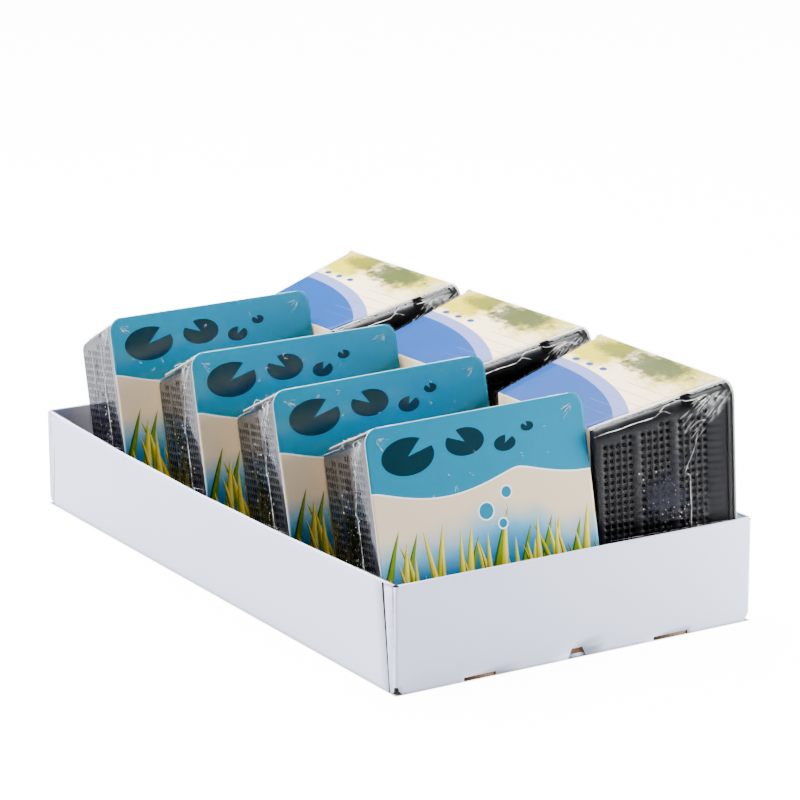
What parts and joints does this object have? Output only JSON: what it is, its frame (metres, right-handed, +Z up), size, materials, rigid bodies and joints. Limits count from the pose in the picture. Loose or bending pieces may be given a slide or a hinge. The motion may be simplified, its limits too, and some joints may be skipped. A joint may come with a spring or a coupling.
{
  "type": "display tray of pond plant kits",
  "caption": "Open white board tray holding shrink-wrapped planting baskets with printed card sleeves, laid on their sides in two rows.",
  "frame": {"origin": "centre of the tray's flat underside", "axes": "+Z up, +Y along the tray's length to its back, +X to its right"},
  "size_m": [0.348, 0.6, 0.2024],
  "materials": {
    "board": "white-faced corrugated board, satin",
    "basket_plastic": "black moulded plastic with square holes",
    "planting_soil": "dark fibrous planting soil",
    "printed_card": "printed and varnished card",
    "shrink_film": "clear glossy shrink film with creases"
  },
  "bodies": {
    "root": {"tray": "board", "basket_left_1": "basket_plastic", "soil_left_1": "planting_soil", "sleeve_left_1": "printed_card", "film_left_1": "shrink_film", "basket_left_2": "basket_plastic", "soil_left_2": "planting_soil", "sleeve_left_2": "printed_card", "film_left_2": "shrink_film", "basket_left_3": "basket_plastic", "soil_left_3": "planting_soil", "sleeve_left_3": "printed_card", "film_left_3": "shrink_film", "basket_left_4": "basket_plastic", "soil_left_4": "planting_soil", "sleeve_left_4": "printed_card", "film_left_4": "shrink_film", "basket_right_1": "basket_plastic", "soil_right_1": "planting_soil", "sleeve_right_1": "printed_card", "film_right_1": "shrink_film", "basket_right_2": "basket_plastic", "soil_right_2": "planting_soil", "sleeve_right_2": "printed_card", "film_right_2": "shrink_film", "basket_right_3": "basket_plastic", "soil_right_3": "planting_soil", "sleeve_right_3": "printed_card", "film_right_3": "shrink_film"}
  },
  "joints": []
}
